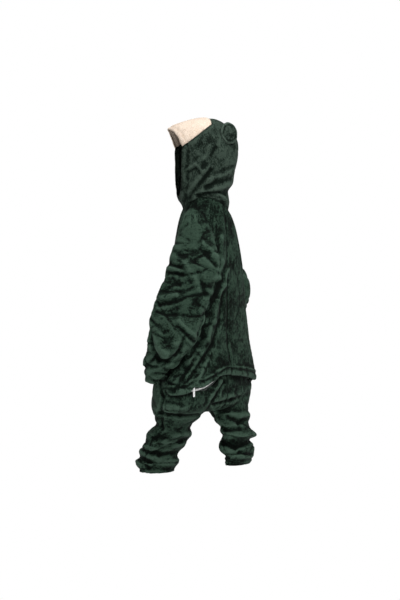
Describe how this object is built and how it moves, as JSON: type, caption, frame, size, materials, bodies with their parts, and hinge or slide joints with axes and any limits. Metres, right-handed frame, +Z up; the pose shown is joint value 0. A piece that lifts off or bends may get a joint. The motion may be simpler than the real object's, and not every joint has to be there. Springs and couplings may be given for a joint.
{
  "type": "child's hooded animal onesie",
  "caption": "Loose hooded plush onesie for a child, in its worn walking shape and empty, with round ears, wide sleeves, a front zip and a drop seat zip under a bloused back.",
  "frame": {"origin": "middle of the neck seam, level with the top of the wearer's shoulders", "axes": "+Z up the wearer's body, -Y to the front of the body, +X to the wearer's left; the head turns toward the left"},
  "size_m": [0.5207, 0.2939, 1.023],
  "materials": {
    "plush": "dark green short-pile plush with a changing nap",
    "cream_plush": "cream short-pile plush",
    "zip_tape": "dark woven tape",
    "zip_metal": "polished nickel"
  },
  "bodies": {
    "garment": {"hood_left": "plush", "hood_right": "plush", "ear_left": "plush", "ear_right": "plush", "back_left": "plush", "back_right": "plush", "seat_left": "plush", "seat_right": "plush", "front_left": "plush", "front_right": "plush", "sleeve_left": "plush", "sleeve_right": "plush", "sleeve_hem_left": "plush", "sleeve_hem_right": "plush", "leg_hem_left": "plush", "leg_hem_right": "plush", "hood_brow": "cream_plush", "seat_zip_tape_upper": "zip_tape", "seat_zip_tape_lower": "zip_tape", "front_zip_tape_left": "zip_tape", "front_zip_tape_right": "zip_tape", "seat_zip_slider": "zip_metal", "front_zip_slider": "zip_metal"},
    "seat_pull_tab": {"seat_zip_pull": "zip_metal"},
    "front_pull_tab": {"front_zip_pull": "zip_metal"}
  },
  "joints": [
    {"name": "seat_pull_hinge", "type": "hinge", "parent": "garment", "child": "seat_pull_tab", "pos_m": [0.14905, 0.06244, -0.5226], "axis": [0.9164, -0.4002, 0], "range_deg": [0, 45]},
    {"name": "front_pull_hinge", "type": "hinge", "parent": "garment", "child": "front_pull_tab", "pos_m": [0, -0.0623, -0.0306], "axis": [-1, 0, 0], "range_deg": [0, 90]}
  ]
}
